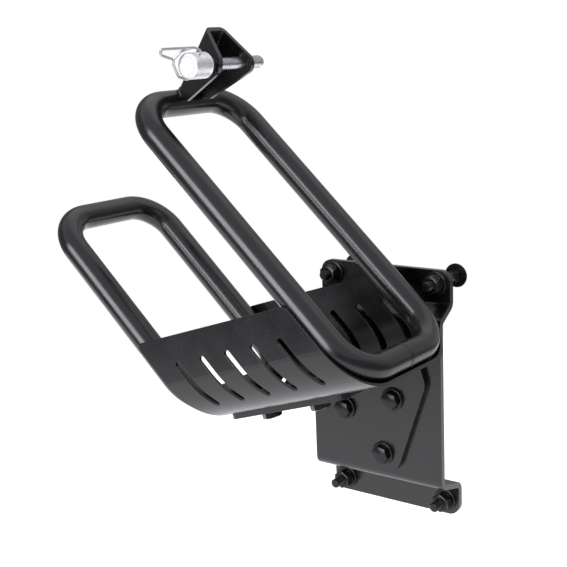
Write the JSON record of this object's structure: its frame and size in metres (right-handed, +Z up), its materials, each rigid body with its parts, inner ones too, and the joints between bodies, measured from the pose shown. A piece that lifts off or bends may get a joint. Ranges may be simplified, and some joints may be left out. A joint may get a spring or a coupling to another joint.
{
  "type": "tailgate step",
  "caption": "Bolt-on tailgate step: a slotted U-shaped tread between leaning tube hoops, carried by a bolted shelf bracket on a joggled plate, with a clevis and sliding lock pin on top.",
  "frame": {"origin": "centre of the mounting bolt pattern, in the plane of the lower flange's rear face", "axes": "+Z up, +Y into the surface the step is bolted to, +X towards the end the tread climbs to"},
  "size_m": [0.3879, 0.2443, 0.4989],
  "materials": {
    "black_coat": "semi-gloss black powder coat",
    "black_hardware": "satin black plated fasteners",
    "zinc_plate": "bright zinc plate",
    "spring_wire": "zinc plated spring wire"
  },
  "bodies": {
    "step": {"base_plate": "black_coat", "support_bracket": "black_coat", "tread": "black_coat", "long_hoop": "black_coat", "short_hoop": "black_coat", "clevis": "black_coat", "upper_bolts": "black_hardware", "upper_washers": "black_hardware", "upper_lock_washers": "black_hardware", "upper_nuts": "black_hardware", "lower_bolts": "black_hardware", "lower_washers": "black_hardware", "lower_lock_washers": "black_hardware", "lower_nuts": "black_hardware", "bracket_bolts": "black_hardware", "bracket_washers": "black_hardware", "bracket_rear_washers": "black_hardware", "bracket_lock_washers": "black_hardware", "bracket_nuts": "black_hardware", "shelf_bolts": "black_hardware", "shelf_washers": "black_hardware", "shelf_nuts": "black_hardware"},
    "pin": {"lock_pin": "zinc_plate", "pin_collar": "zinc_plate", "pin_barrel": "zinc_plate"},
    "clip": {"wire_clip": "spring_wire"}
  },
  "joints": [
    {"name": "pin_slide", "type": "slide", "parent": "step", "child": "pin", "axis": [0, -1, 0], "range_m": [0, 0.078]},
    {"name": "clip_hinge", "type": "hinge", "parent": "pin", "child": "clip", "pos_m": [-0.095, -0.18, 0.3345], "axis": [0.5707, 0, 0.8211], "range_deg": [-37, 113]}
  ]
}
